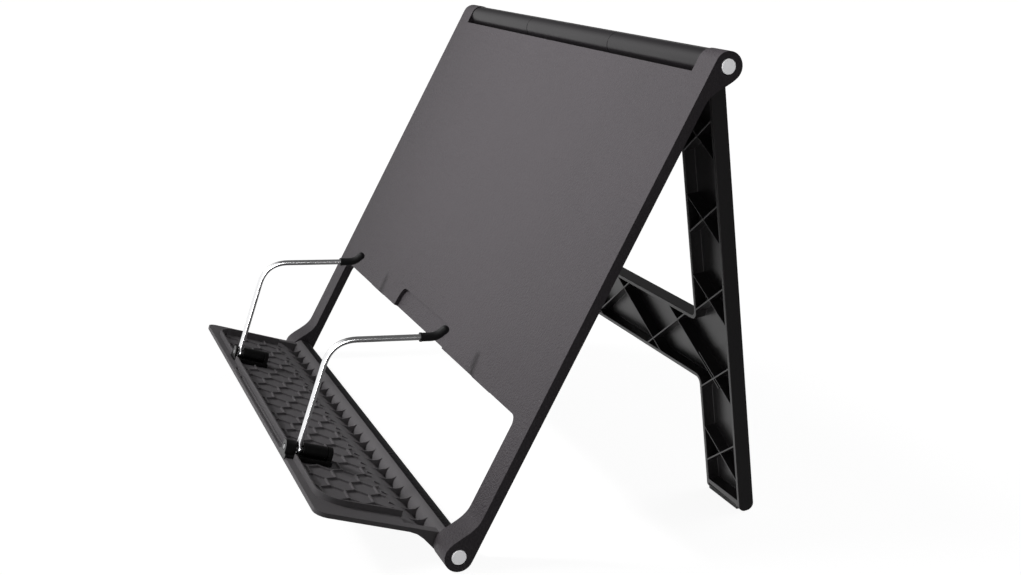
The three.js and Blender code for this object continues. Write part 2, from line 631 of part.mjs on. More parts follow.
const WIRE_IN_TIP = 7;            // wire inside the rubber tip
const TIP_LENGTH = 10;            // straight part of the rubber tip
const HOOK_BEND = 4;

function wireSolid(x) {
  const { foot, shoulder, hook } = armPath();
  const start = towards(foot, shoulder, EYE_RADIUS - 0.6);
  const bendIn = towards(shoulder, foot, BEND_RADIUS);
  const bendOut = towards(shoulder, hook, BEND_RADIUS);
  const end = towards(hook, shoulder, TIP_LENGTH - WIRE_IN_TIP);
  const wire = sweep([
    new THREE.LineCurve3(start, bendIn),
    new THREE.QuadraticBezierCurve3(bendIn, shoulder, bendOut),
    new THREE.LineCurve3(bendOut, end),
  ], WIRE_RADIUS, 10, 22);
  const eye = rodY(EYE_RADIUS, -ARM_SEAT - WIRE_RADIUS, -ARM_SEAT + WIRE_RADIUS, 0, ARM_AXIS_HEIGHT);
  const hole = rodY(
    SWIVEL_PIN_RADIUS + GAP, -ARM_SEAT - 2 * WIRE_RADIUS, -ARM_SEAT + 2 * WIRE_RADIUS, 0, ARM_AXIS_HEIGHT);
  return cut(join(wire, eye), hole).translate([x, 0, 0]);
}

function tipSolid(x) {
  const { shoulder, hook, end } = armPath();
  const outer = WIRE_RADIUS + GAP + TIP_WALL;
  const mouth = towards(hook, shoulder, TIP_LENGTH);
  const bendIn = towards(hook, shoulder, HOOK_BEND);
  const bendOut = towards(hook, end, HOOK_BEND);
  const skin = sweep([
    new THREE.LineCurve3(mouth, bendIn),
    new THREE.QuadraticBezierCurve3(bendIn, hook, bendOut),
    new THREE.LineCurve3(bendOut, end),
  ], outer, 10, 8);
  const boreEnd = towards(hook, shoulder, TIP_LENGTH - WIRE_IN_TIP - GAP);
  const boreLine = new THREE.LineCurve3(towards(hook, shoulder, TIP_LENGTH + 1), boreEnd);
  const bore = sweep([boreLine], WIRE_RADIUS + GAP, 10, 1);
  const ball = toSolid(new THREE.SphereGeometry(outer, 10, 6)).translate(end.toArray());
  return cut(join(skin, ball), bore).translate([x, 0, 0]);
}

function addArmSeat(group, side, sign) {
  const x = sign * ARM_OFFSET;
  const front = -ARM_SEAT - BRACKET_FRONT[side];
  const back = -ARM_SEAT + BRACKET_BACK;
  const low = FLOOR_TOP + GAP;
  const ear = (y0, y1) => join(
    rodY(SLEEVE_RADIUS, y0, y1, x, ARM_AXIS_HEIGHT),
    block(x - SLEEVE_RADIUS, x + SLEEVE_RADIUS, y0, y1, low, ARM_AXIS_HEIGHT),
  );
  const base = cut(
    block(x - BRACKET_HALF, x + BRACKET_HALF, front, back, low, low + BASE_HEIGHT),
    rodY(SLEEVE_RADIUS + GAP, front - 1, back + 1, x, ARM_AXIS_HEIGHT),
  );
  const bracket = cut(
    join(base, ear(front, -ARM_SEAT - WIRE_RADIUS - GAP), ear(back - EAR, back)),
    rodY(SWIVEL_PIN_RADIUS + GAP, front - 1, back - EAR / 2, x, ARM_AXIS_HEIGHT),
  );
  addPiece(group, `arm_bracket_${side}`, bracket, 'pivot');
  const pin = rodY(SWIVEL_PIN_RADIUS, front, back - EAR / 2 - GAP, x, ARM_AXIS_HEIGHT);
  addPiece(group, `arm_swivel_pin_${side}`, pin, 'steel');
}

function addArm(group, side, sign) {
  const x = sign * ARM_OFFSET;
  const sleeveFront = -ARM_SEAT + WIRE_RADIUS + GAP;
  const sleeveBack = -ARM_SEAT + BRACKET_BACK - EAR - GAP;
  const sleeve = cut(
    rodY(SLEEVE_RADIUS, sleeveFront, sleeveBack, x, ARM_AXIS_HEIGHT),
    rodY(SWIVEL_PIN_RADIUS + GAP, sleeveFront - 1, sleeveBack + 1, x, ARM_AXIS_HEIGHT),
  );
  addPiece(group, `arm_swivel_sleeve_${side}`, sleeve, 'pivot');
  addPiece(group, `page_arm_wire_${side}`, wireSolid(x), 'chrome');
  addPiece(group, `page_arm_tip_${side}`, tipSolid(x), 'rubber');
}

// ---- assembly ----------------------------------------------------------------------------------------
const stand = new THREE.Group();
const panelGroup = new THREE.Group();
const legGroup = new THREE.Group();
const trayGroup = new THREE.Group();

panelGroup.position.z = LUG_RADIUS;
panelGroup.rotation.x = -radians(PANEL_TILT);
trayGroup.position.z = LUG_RADIUS;
trayGroup.rotation.x = radians(TRAY_ANGLE - 90 - PANEL_TILT);
const topPin = new THREE.Vector3(0, TOP_PIN_BACK, PIN_SPAN)
  .applyEuler(panelGroup.rotation).add(panelGroup.position);
legGroup.position.copy(topPin);
legGroup.rotation.x = LEG_LEAN;

addPiece(panelGroup, 'back_panel', backPanel(), 'panel');
addPinsAndBushes(panelGroup, legGroup, 'top', TOP_PIN_BACK, PIN_SPAN);
addPinsAndBushes(panelGroup, trayGroup, 'bottom', 0, 0);

addPiece(legGroup, 'leg_frame', legFrame(), 'frame');
addBarrelCovers(legGroup, 'leg', 90, 'cover');
for (const [side, sign] of SIDES) {
  addPiece(legGroup, `foot_pad_${side}`, sign > 0 ? footPad() : mirrorX(footPad()), 'rubber');
}

addPiece(trayGroup, 'tray', tray(), 'frame');
addBarrelCovers(trayGroup, 'tray', TRAY_COVER_FROM, 'cover');
for (const [side, sign] of SIDES) {
  addArmSeat(trayGroup, side, sign);
  addArm(trayGroup, side, sign);
}

stand.add(panelGroup, legGroup, trayGroup);
stand.updateMatrixWorld(true);
const footprint = new THREE.Box3().setFromObject(stand, true);
stand.position.y = -(footprint.min.y + footprint.max.y) / 2;

export default stand;
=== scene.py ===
"""Folding stand for a photo album: finishes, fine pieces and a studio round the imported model.

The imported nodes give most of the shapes: a piece copies its node, rounds its edges and gets its
finish. The wires and the tips of the page arms are made anew along their own middle lines.
"""

import json
import logging
import math
from dataclasses import dataclass
from enum import Enum, StrEnum
from typing import Callable, Union

import bmesh
import bpy
from mathutils import Matrix, Vector


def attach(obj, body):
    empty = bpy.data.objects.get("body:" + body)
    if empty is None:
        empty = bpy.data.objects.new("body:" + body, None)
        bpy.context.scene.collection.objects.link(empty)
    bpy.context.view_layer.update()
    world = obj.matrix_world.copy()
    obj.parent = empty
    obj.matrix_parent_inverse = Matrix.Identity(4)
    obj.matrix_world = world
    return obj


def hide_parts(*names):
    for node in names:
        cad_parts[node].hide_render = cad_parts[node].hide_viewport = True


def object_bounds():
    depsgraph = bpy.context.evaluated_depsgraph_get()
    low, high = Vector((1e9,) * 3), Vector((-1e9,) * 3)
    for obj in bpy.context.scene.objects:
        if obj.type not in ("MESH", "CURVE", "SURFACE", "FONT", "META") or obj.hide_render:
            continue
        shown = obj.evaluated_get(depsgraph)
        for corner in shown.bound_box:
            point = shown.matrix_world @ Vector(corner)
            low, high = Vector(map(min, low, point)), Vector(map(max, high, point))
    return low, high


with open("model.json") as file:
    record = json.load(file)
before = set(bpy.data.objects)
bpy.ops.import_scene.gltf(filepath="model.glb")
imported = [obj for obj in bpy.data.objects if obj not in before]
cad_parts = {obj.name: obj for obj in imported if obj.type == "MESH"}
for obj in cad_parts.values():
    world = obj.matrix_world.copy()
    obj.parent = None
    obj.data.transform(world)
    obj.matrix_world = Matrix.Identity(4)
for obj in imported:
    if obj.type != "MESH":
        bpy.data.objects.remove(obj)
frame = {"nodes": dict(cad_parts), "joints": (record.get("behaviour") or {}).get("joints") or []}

CAD_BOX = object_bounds()
LOG = logging.getLogger("photo_album_stand")
MM = 0.001
TRAY_LEAN = -17.8               # degrees about the stand's width that the tray rests raised
WHITE = (1.0, 1.0, 1.0, 1.0)

MERGE_REACH = 0.02 * MM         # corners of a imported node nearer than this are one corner
SLIVER = 0.01 * MM              # edges shorter than this are dissolved
FLAT_ANGLE = math.radians(0.6)  # faces that turn less than this are one flat face
CREASE_ANGLE = math.radians(32.0)
FLAT_FACE_WEIGHT = 80           # how far large flat faces decide the shading of rounded edges
SHORT_EDGE = 2.2                # times a rounding's width; shorter edges stay sharp
CUT_REACH = 0.001 * MM          # corners nearer than this to a cut lie on it
GROOVE_WALL = 0.08              # slope of a groove's walls, as a share of the pitch

Number = Union[int, float]
Triple = tuple[float, float, float]


class Side(StrEnum):
    """The two sides of the stand."""

    LEFT = "left"
    RIGHT = "right"


class Place(StrEnum):
    """The places of the covers along a barrel."""

    LEFT = "left"
    MIDDLE = "middle"
    RIGHT = "right"


# ---- material building -------------------------------------------------------------------------


class Signal:
    """A number, colour or shader from a node, which Python's own operators combine."""

    def __init__(self, nodes: "Nodes", socket: bpy.types.NodeSocket) -> None:
        """Keeps the nodes and the socket that the signal comes from."""
        self.nodes = nodes
        self.socket = socket

    def _math(self, operation: str, *values: Union["Signal", Number]) -> "Signal":
        """Makes one Math node.

        Args:
            operation: the node's operation.
            values: its inputs, in order.

        Returns:
            The node's result.
        """
        return self.nodes.node("ShaderNodeMath", {"operation": operation}, dict(enumerate(values)))

    def __add__(self, other: Union["Signal", Number]) -> "Signal":
        """Sum."""
        return self._math("ADD", self, other)

    def __radd__(self, other: Number) -> "Signal":
        """Sum, with the number first."""
        return self._math("ADD", other, self)

    def __sub__(self, other: Union["Signal", Number]) -> "Signal":
        """Difference."""
        return self._math("SUBTRACT", self, other)

    def __rsub__(self, other: Number) -> "Signal":
        """Difference, with the number first."""
        return self._math("SUBTRACT", other, self)

    def __mul__(self, other: Union["Signal", Number]) -> "Signal":
        """Product."""
        return self._math("MULTIPLY", self, other)

    def __rmul__(self, other: Number) -> "Signal":
        """Product, with the number first."""
        return self._math("MULTIPLY", other, self)

    def clamped(self) -> "Signal":
        """The number, kept between 0 and 1."""
        return self._math("MINIMUM", self._math("MAXIMUM", self, 0.0), 1.0)


Value = Union[Signal, Number, tuple]


class Nodes:
    """The nodes of a material or of the sky."""

    def __init__(self, tree: bpy.types.NodeTree) -> None:
        """Starts with an empty tree."""
        self.tree = tree
        self.tree.nodes.clear()

    def node(self, kind: str, settings: dict[str, object], inputs: dict[Union[int, str], Value],
             out: Union[int, str] = 0) -> Signal:
        """Makes one node.

        Args:
            kind: the node's type.
            settings: properties set before the sockets are used.
            inputs: values or signals for its sockets, by number or name.
            out: the output that is wanted.

        Returns:
            The signal from that output.
        """
        made = self.tree.nodes.new(kind)
        for key, setting in settings.items():
            setattr(made, key, setting)
        for key, value in inputs.items():
            self.feed(made.inputs[key], value)
        return Signal(self, made.outputs[out])

    def feed(self, socket: bpy.types.NodeSocket, value: Value) -> None:
        """Links a signal to a socket, or sets the socket's own value.

        Args:
            socket: the socket that is fed.
            value: the signal, or the constant.
        """
        if isinstance(value, Signal):
            self.tree.links.new(value.socket, socket)
        else:
            socket.default_value = value

    def close(self, kind: str, surface: Signal) -> None:
        """Ends the nodes with an output of this kind, which shows the surface."""
        self.feed(self.tree.nodes.new(kind).inputs["Surface"], surface)


class Recipe(Nodes):
    """One material's nodes, with a Principled shader at the end."""

    def __init__(self, name: str) -> None:
        """Starts a material with its shader and output.

        Args:
            name: the material's name.
        """
        self.material = bpy.data.materials.new(name)
        self.material.use_nodes = True
        super().__init__(self.material.node_tree)
        surface = self.node("ShaderNodeBsdfPrincipled", {}, {}, "BSDF")
        self.shader = surface.socket.node
        self.close("ShaderNodeOutputMaterial", surface)

    def set(self, **values: Value) -> None:
        """Feeds the shader's sockets; a name's underscores stand for spaces."""
        for key, value in values.items():
            self.feed(self.shader.inputs[key.replace("_", " ")], value)

    def place(self) -> Signal:
        """The point on the piece, in metres."""
        return self.node("ShaderNodeTexCoord", {}, {}, "Object")

    def stretched(self, scale: Triple) -> Signal:
        """The point on the piece, scaled along each axis."""
        values = {"Vector": self.place(), "Scale": scale}
        return self.node("ShaderNodeMapping", {}, values, "Vector")

    def noise(self, scale: float, detail: float = 2.0, at: Union[Signal, None] = None) -> Signal:
        """Soft random clouds from 0 to 1.

        Args:
            scale: clouds in a metre.
            detail: octaves of finer clouds.
            at: where to read them, or None for the point on the piece.

        Returns:
            The clouds' height.
        """
        values = {"Vector": at or self.place(), "Scale": scale, "Detail": detail}
        return self.node("ShaderNodeTexNoise", {}, values, "Fac")

    def pebbles(self, scale: float, melt: float) -> Signal:
        """Rounded grains, from their distance to the nearest grain's middle.

        Args:
            scale: grains in a metre.
            melt: how far neighbouring grains run into each other.

        Returns:
            The grains' height.
        """
        values = {"Vector": self.place(), "Scale": scale, "Smoothness": melt, "Randomness": 1.0}
        return self.node("ShaderNodeTexVoronoi", {"feature": "SMOOTH_F1"}, values, "Distance")

    def blend(self, share: Value, first: Triple, second: Triple) -> Signal:
        """A colour between two.

        Args:
            share: 0 for the first colour, 1 for the second.
            first: colour at 0.
            second: colour at 1.

        Returns:
            The colour.
        """
        settings = {"data_type": "RGBA", "clamp_factor": True}
        values = {0: share, 6: (*first, 1.0), 7: (*second, 1.0)}
        return self.node("ShaderNodeMix", settings, values, 2)

    def bump(self, height: Signal, depth: float, strength: float = 1.0) -> None:
        """Lifts the surface's shading by a height.

        Args:
            height: relief from 0 to 1.
            depth: metres that 1 stands for.
            strength: share of the relief that shows.
        """
        values = {"Height": height, "Distance": depth, "Strength": strength}
        self.set(Normal=self.node("ShaderNodeBump", {}, values, "Normal"))


def shade(colour: Triple, factor: float) -> Triple:
    """A colour made darker or lighter by a factor."""
    return tuple(part * factor for part in colour)


@dataclass(frozen=True)
class MouldedPlastic:
    """Moulded plastic with a grain, slightly uneven in tone and gloss."""

    name: str
    colour: Triple
    spread: float = 0.1
    roughness: float = 0.5
    gloss: float = 0.3
    grain: float = 1300.0
    grain_depth: float = 0.03 * MM
    pebbled: bool = False
    clouds: float = 14.0
    speckle_ratio: float = 0.7
    dust_ratio: float = 1.7
    cloud_tone: float = 0.6
    speckle_tone: float = 0.5
    tone_cut: float = 0.05
    dull_swing: float = 0.06
    pebble_melt: float = 0.6
    pebble_share: float = 0.75
    dust_share: float = 0.35

    def make(self) -> bpy.types.Material:
        """Builds the material.

        Returns:
            The new material.
        """
        recipe = Recipe(self.name)
        cloud = recipe.noise(self.clouds, detail=4.0)
        speckle = recipe.noise(self.grain * self.speckle_ratio)
        tone = cloud * self.cloud_tone + speckle * self.speckle_tone - self.tone_cut
        dark, light = shade(self.colour, 1 - self.spread), shade(self.colour, 1 + self.spread)
        dull = self.roughness - self.dull_swing + cloud * (2 * self.dull_swing)
        recipe.set(
            Base_Color=recipe.blend(tone.clamped(), dark, light),
            Roughness=dull.clamped(),
            Specular_IOR_Level=self.gloss,
        )
        recipe.bump(self.relief(recipe), self.grain_depth)
        return recipe.material

    def relief(self, recipe: Recipe) -> Signal:
        """The grain's height: pebbles with dust on them, or a plain fine grain.

        Args:
            recipe: the material that gets the grain.

        Returns:
            The height.
        """
        if not self.pebbled:
            return recipe.noise(self.grain)
        pebbles = recipe.pebbles(self.grain, self.pebble_melt)
        dust = recipe.noise(self.grain * self.dust_ratio)
        return pebbles * self.pebble_share + dust * self.dust_share


@dataclass(frozen=True)
class SoftRubber:
    """Dull rubber with a fine dusty mottle."""

    name: str
    colour: Triple
    roughness: float = 0.7
    gloss: float = 0.25
    mottle: float = 260.0
    spread: float = 0.2
    dull_swing: float = 0.08
    skin: float = 1800.0
    skin_depth: float = 0.03 * MM

    def make(self) -> bpy.types.Material:
        """Builds the material.

        Returns:
            The new material.
        """
        recipe = Recipe(self.name)
        mottle = recipe.noise(self.mottle, detail=3.0)
        dark, light = shade(self.colour, 1 - self.spread), shade(self.colour, 1 + self.spread)
        dull = self.roughness - self.dull_swing + mottle * (2 * self.dull_swing)
        recipe.set(
            Base_Color=recipe.blend(mottle, dark, light),
            Roughness=dull.clamped(),
            Specular_IOR_Level=self.gloss,
        )
        recipe.bump(recipe.noise(self.skin), self.skin_depth)
        return recipe.material


@dataclass(frozen=True)
class PlatedWire:
    """Bright plating with faint drawing marks on the wire."""

    name: str
    colour: Triple = (0.86, 0.86, 0.87)
    dull_share: float = 0.9
    roughness: float = 0.12
    dull_swing: float = 0.1
    clouds: float = 90.0
    marks: float = 1500.0
    mark_depth: float = 0.01 * MM
    mark_strength: float = 0.5

    def make(self) -> bpy.types.Material:
        """Builds the material.

        Returns:
            The new material.
        """
        recipe = Recipe(self.name)
        cloud = recipe.noise(self.clouds, detail=3.0)
        recipe.set(
            Base_Color=recipe.blend(cloud, shade(self.colour, self.dull_share), self.colour),
            Metallic=1.0,
            Roughness=(cloud * self.dull_swing + self.roughness).clamped(),
        )
        recipe.bump(recipe.noise(self.marks, detail=1.0), self.mark_depth, self.mark_strength)
        return recipe.material


@dataclass(frozen=True)
class TurnedSteel:
    """Turned steel, brushed round its axis."""

    name: str
    colour: Triple = (0.72, 0.72, 0.73)
    dull_share: float = 0.82
    metal: float = 0.35
    roughness: float = 0.36
    dull_swing: float = 0.18
    marks: Triple = (300.0, 2600.0, 2600.0)
    mark_depth: float = 0.02 * MM
    mark_strength: float = 0.6

    def make(self) -> bpy.types.Material:
        """Builds the material.

        Returns:
            The new material.
        """
        recipe = Recipe(self.name)
        marks = recipe.noise(1.0, at=recipe.stretched(self.marks))
        recipe.set(
            Base_Color=recipe.blend(marks, shade(self.colour, self.dull_share), self.colour),
            Metallic=self.metal,
            Roughness=(marks * self.dull_swing + self.roughness).clamped(),
        )
        recipe.bump(marks, self.mark_depth, self.mark_strength)
        return recipe.material


class Finish(Enum):
    """The stand's finishes, each with the name of its material."""

    PANEL_FACE = MouldedPlastic(
        "panel_face", (0.1, 0.089, 0.098), spread=0.24, roughness=0.52, gloss=0.22, grain=1000.0,
        grain_depth=0.4 * MM, pebbled=True)
    # painted shade: a near-black copy of the plastic for faces turned from the light and for the
    # tray's trough; only its finer grain is the sides' own
    PANEL_SIDE = MouldedPlastic(
        "painted_shade", (0.0075, 0.007, 0.0075), roughness=0.45, gloss=0.08, grain=1500.0,
        grain_depth=0.02 * MM)
    FRAME = MouldedPlastic("frame_satin", (0.04, 0.037, 0.039), roughness=0.34, gloss=0.5)
    TRAY = MouldedPlastic("tray_satin", (0.24, 0.229, 0.238), roughness=0.5, gloss=0.1)
    COVER = MouldedPlastic(
        "cover_satin", (0.018, 0.016, 0.018), roughness=0.36, gloss=0.25, grain=1400.0)
    PIVOT = MouldedPlastic(
        "pivot_black", (0.006, 0.006, 0.006), roughness=0.32, gloss=0.3, grain=1500.0,
        grain_depth=0.01 * MM)
    NYLON = MouldedPlastic(
        "bush_nylon", (0.7, 0.68, 0.62), spread=0.05, roughness=0.4, gloss=0.4, grain=1500.0,
        grain_depth=0.01 * MM)
    PAD = SoftRubber("pad_rubber", (0.3, 0.3, 0.3))
    TIP = SoftRubber("tip_rubber", (0.022, 0.022, 0.023), roughness=0.45)
    STEEL = TurnedSteel("turned_steel")
    CHROME = PlatedWire("plated_wire")


class Dresser:
    """Makes each finish once and hands it out."""

    def __init__(self) -> None:
        """Starts with no finish made and no bright metal known."""
        self.made: dict[Finish, bpy.types.Material] = {}
        self.bright_metal = bpy.data.collections.new("bright_metal")

    def material(self, finish: Finish) -> bpy.types.Material:
        """Makes a finish's material the first time it is asked for.

        Args:
            finish: the finish.

        Returns:
            Its material.
        """
        if finish not in self.made:
            self.made[finish] = finish.value.make()
        return self.made[finish]

    def dress(self, thing: bpy.types.Object, finishes: tuple[Finish, ...]) -> None:
        """Puts finishes on a piece and notes bright metal for its own lamp.

        Args:
            thing: the piece.
            finishes: its finishes, in the order of its slots.
        """
        thing.data.materials.clear()
        for finish in finishes:
            thing.data.materials.append(self.material(finish))
        if finishes[0] in (Finish.STEEL, Finish.CHROME):
            self.bright_metal.objects.link(thing)

    def dress_node(self, node: str, finish: Finish) -> None:
        """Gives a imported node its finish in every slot, leaving its mesh alone.

        Args:
            node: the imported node.
            finish: its finish.
        """
        thing = frame["nodes"][node]
        if not thing.material_slots:
            thing.data.materials.append(self.material(finish))
        for slot in thing.material_slots:
            slot.material = self.material(finish)
        LOG.info("node %s: %s", node, finish.value.name)


DRESSER = Dresser()


# ---- making pieces -----------------------------------------------------------------------------


@dataclass
class Piece:
    """A new piece of the stand, from a bmesh to a named object that rides on its body."""

    name: str
    body: str
    slot: str
    finishes: tuple[Finish, ...]
    replaced: str

    def finish(self, bm: bmesh.types.BMesh) -> None:
        """Turns the bmesh into the piece.

        Args:
            bm: the shape, in metres in the stand's frame; it is freed.
        """
        mesh = bpy.data.meshes.new(self.name)
        for face in bm.faces:
            face.smooth = True
        bm.to_mesh(mesh)
        bm.free()
        mesh.set_sharp_from_angle(angle=CREASE_ANGLE)
        thing = bpy.data.objects.new(self.name, mesh)
        bpy.context.scene.collection.objects.link(thing)
        weighted = thing.modifiers.new("flat_faces_stay_flat", "WEIGHTED_NORMAL")
        weighted.keep_sharp = True
        weighted.weight = FLAT_FACE_WEIGHT
        DRESSER.dress(thing, self.finishes)
        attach(thing, self.body)
        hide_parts(self.replaced)
        LOG.info("piece %s: %d faces on %s", self.name, len(mesh.polygons), self.body)


def joint_place(name: str) -> Vector:
    """The place of the joint of this name."""
    return Vector(next(joint for joint in frame["joints"] if joint["name"] == name)["pos_m"])


def leaned(lean: float, direction: Triple) -> Vector:
    """A direction turned by degrees about the stand's width."""
    return Matrix.Rotation(math.radians(lean), 3, "X") @ Vector(direction)


def copy_of(node: str) -> bmesh.types.BMesh:
    """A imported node's shape with its loose triangles joined and its flat faces whole.

    Args:
        node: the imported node.

    Returns:
        Its shape as a bmesh.
    """
    bm = bmesh.new()
    bm.from_mesh(frame["nodes"][node].data)
    bm.transform(frame["nodes"][node].matrix_world)
    bmesh.ops.remove_doubles(bm, verts=bm.verts, dist=MERGE_REACH)
    bmesh.ops.dissolve_degenerate(bm, edges=bm.edges, dist=SLIVER)
    bmesh.ops.dissolve_limit(
        bm, angle_limit=FLAT_ANGLE, verts=bm.verts, edges=bm.edges, use_dissolve_boundaries=False)
    bmesh.ops.recalc_face_normals(bm, faces=bm.faces)
    return bm


def soften(bm: bmesh.types.BMesh, width: float, angle: float = 34.0) -> None:
    """Rounds a shape's sharp edges.

    Args:
        bm: the shape.
        width: metres taken off each side of an edge.
        angle: degrees that an edge has to turn to count as sharp.
    """
    edges = [
        edge for edge in bm.edges
        if len(edge.link_faces) == 2 and edge.calc_face_angle(0) > math.radians(angle)
        and edge.calc_length() > SHORT_EDGE * width
    ]
    bmesh.ops.bevel(
        bm, geom=edges, offset=width, offset_type="OFFSET", segments=2, profile=0.5,
        affect="EDGES", clamp_overlap=False, material=-1)


def softened(node: str, name: str, body: str, slot: str, finish: Finish, width: float) -> None:
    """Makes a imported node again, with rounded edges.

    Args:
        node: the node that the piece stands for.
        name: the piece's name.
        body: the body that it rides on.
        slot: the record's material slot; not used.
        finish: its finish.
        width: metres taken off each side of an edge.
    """
    bm = copy_of(node)
    soften(bm, width)
    Piece(name, body, slot, (finish,), node).finish(bm)


def paint_shade_by_facing(bm: bmesh.types.BMesh, facing: Vector, limit: float, both_ways: bool = False) -> None:
    """Paints shade on a shape's faces that turn away from a direction, by putting them in the
    second slot.

    Args:
        bm: the shape.
        facing: the direction that the first slot's faces look in.
        limit: lowest cosine between a face and that direction in the first slot.
        both_ways: whether faces that look the opposite way are in the first slot too.
    """
    for face in bm.faces:
        cosine = face.normal.dot(facing)
        face.material_index = 0 if (abs(cosine) if both_ways else cosine) > limit else 1


def groove(bm: bmesh.types.BMesh, pitch: float, depth: float,
           wanted: Callable[[bmesh.types.BMFace], bool]) -> None:
    """Cuts fine grooves, side by side along the stand's width, into some of a shape's faces.

    Args:
        bm: the shape.
        pitch: metres from groove to groove.
        depth: depth of a groove.
        wanted: test for the faces that get grooves.
    """
    low = min(vert.co.x for vert in bm.verts)
    high = max(vert.co.x for vert in bm.verts)
    count = int((high - low) / pitch)
    start = (low + high - count * pitch) / 2
    for index in range(2 * count + 1):
        cut = (start + index * pitch / 2, 0, 0)
        geometry = [*bm.verts, *bm.edges, *bm.faces]
        bmesh.ops.bisect_plane(bm, geom=geometry, dist=CUT_REACH, plane_co=cut, plane_no=(1, 0, 0))

    def grooved(face: bmesh.types.BMFace) -> bool:
        """Whether a face lies between two cuts where a groove belongs."""
        along = face.calc_center_median().x - start
        return 0 < along < count * pitch and int(along / (pitch / 2)) % 2 == 0

    strips = [face for face in bm.faces if wanted(face) and grooved(face)]
    bmesh.ops.inset_region(
        bm, faces=strips, thickness=pitch * GROOVE_WALL, depth=-depth, use_even_offset=True)


def round_bar(bm: bmesh.types.BMesh, points: list[Vector], radius: float, sides: int) -> None:
    """Adds a round bar with closed ends along a line of points.

    Args:
        bm: the bmesh that gets the bar.
        points: the middle of the bar, at least two points.
        radius: the bar's radius.
        sides: corners of its section.
    """
    circle = bmesh.ops.create_circle(bm, cap_ends=False, radius=radius, segments=sides)["verts"]
    along = (points[1] - points[0]).normalized()
    turn = Vector((0, 0, 1)).rotation_difference(along).to_matrix().to_4x4()
    bmesh.ops.transform(bm, matrix=Matrix.Translation(points[0]) @ turn, verts=circle)
    edges = list({edge for vert in circle for edge in vert.link_edges})
    first = list(edges)
    for index in range(1, len(points)):
        here, after = points[index - 1], points[index]
        grown = bmesh.ops.extrude_edge_only(bm, edges=edges)["geom"]
        ring = [item for item in grown if isinstance(item, bmesh.types.BMVert)]
        edges = [item for item in grown if isinstance(item, bmesh.types.BMEdge)
                 and all(vert in ring for vert in item.verts)]
        ahead = points[index + 1] if index + 1 < len(points) else after
        direction = (ahead - here).normalized()
        swing = along.rotation_difference(direction).to_matrix().to_4x4()
        move = Matrix.Translation(after) @ swing @ Matrix.Translation(-here)
        bmesh.ops.transform(bm, matrix=move, verts=ring)
        along = direction
    bmesh.ops.edgeloop_fill(bm, edges=first)
    bmesh.ops.edgeloop_fill(bm, edges=edges)


# ---- sub-assemblies ----------------------------------------------------------------------------


@dataclass
class BackPanel:
    """The back panel with its rails and lugs, and the pins in the lugs."""

    lean: float = -27.8
    edge: float = 0.2 * MM
    pin_edge: float = 0.35 * MM
    face_limit: float = 0.86

    def build(self) -> None:
        """Makes the panel with a grained front and smooth sides in painted shade, and its four
        pins.
        """
        bm = copy_of("back_panel")
        soften(bm, self.edge)
        # painted shade: faces turned away from the panel's front are near-black
        paint_shade_by_facing(bm, leaned(self.lean, (0, -1, 0)), self.face_limit)
        finishes = (Finish.PANEL_FACE, Finish.PANEL_SIDE)
        Piece("panel_shell", "panel", "panel_plastic", finishes, "back_panel").finish(bm)
        for end in ("top", "bottom"):
            for side in Side:
                pin = f"{end}_hinge_pin_{side}"
                softened(pin, f"{pin}_turned", "panel", "pin_steel", Finish.STEEL, self.pin_edge)


@dataclass
class LegFrame:
    """The rear leg with its barrel covers, bushes and foot pads."""

    lean: float = 7.742
    edge: float = 0.3 * MM
    cover_edge: float = 0.3 * MM
    pad_edge: float = 0.2 * MM
    face_limit: float = 0.6
    pad_face_limit: float = 0.7
    pad_pitch: float = 1.5 * MM
    pad_depth: float = 0.25 * MM

    def build(self) -> None:
        """Makes the frame with satin faces and smooth sides in painted shade, its covers and its
        pads.
        """
        bm = copy_of("leg_frame")
        soften(bm, self.edge)
        # painted shade: faces that look neither forward nor back are near-black
        paint_shade_by_facing(bm, leaned(self.lean, (0, 1, 0)), self.face_limit, both_ways=True)
        finishes = (Finish.FRAME, Finish.PANEL_SIDE)
        Piece("leg_shell", "leg", "frame_plastic", finishes, "leg_frame").finish(bm)
        for place in Place:
            node = f"leg_barrel_cover_{place}"
            softened(node, f"{node}_shell", "leg", "cover_plastic", Finish.COVER, self.cover_edge)
        for side in Side:
            self.pad(side)
            DRESSER.dress_node(f"top_friction_bush_{side}", Finish.NYLON)

    def pad(self, side: Side) -> None:
        """Makes a foot pad with fine grooves in its front.

        Args:
            side: the side of the stand that it is on.
        """
        node = f"foot_pad_{side}"
        front = leaned(self.lean, (0, -1, 0))
        bm = copy_of(node)
        soften(bm, self.pad_edge)
        groove(bm, self.pad_pitch, self.pad_depth,
               lambda face: face.normal.dot(front) > self.pad_face_limit)
        Piece(f"{node}_ribbed", "leg", "pad_rubber", (Finish.PAD,), node).finish(bm)


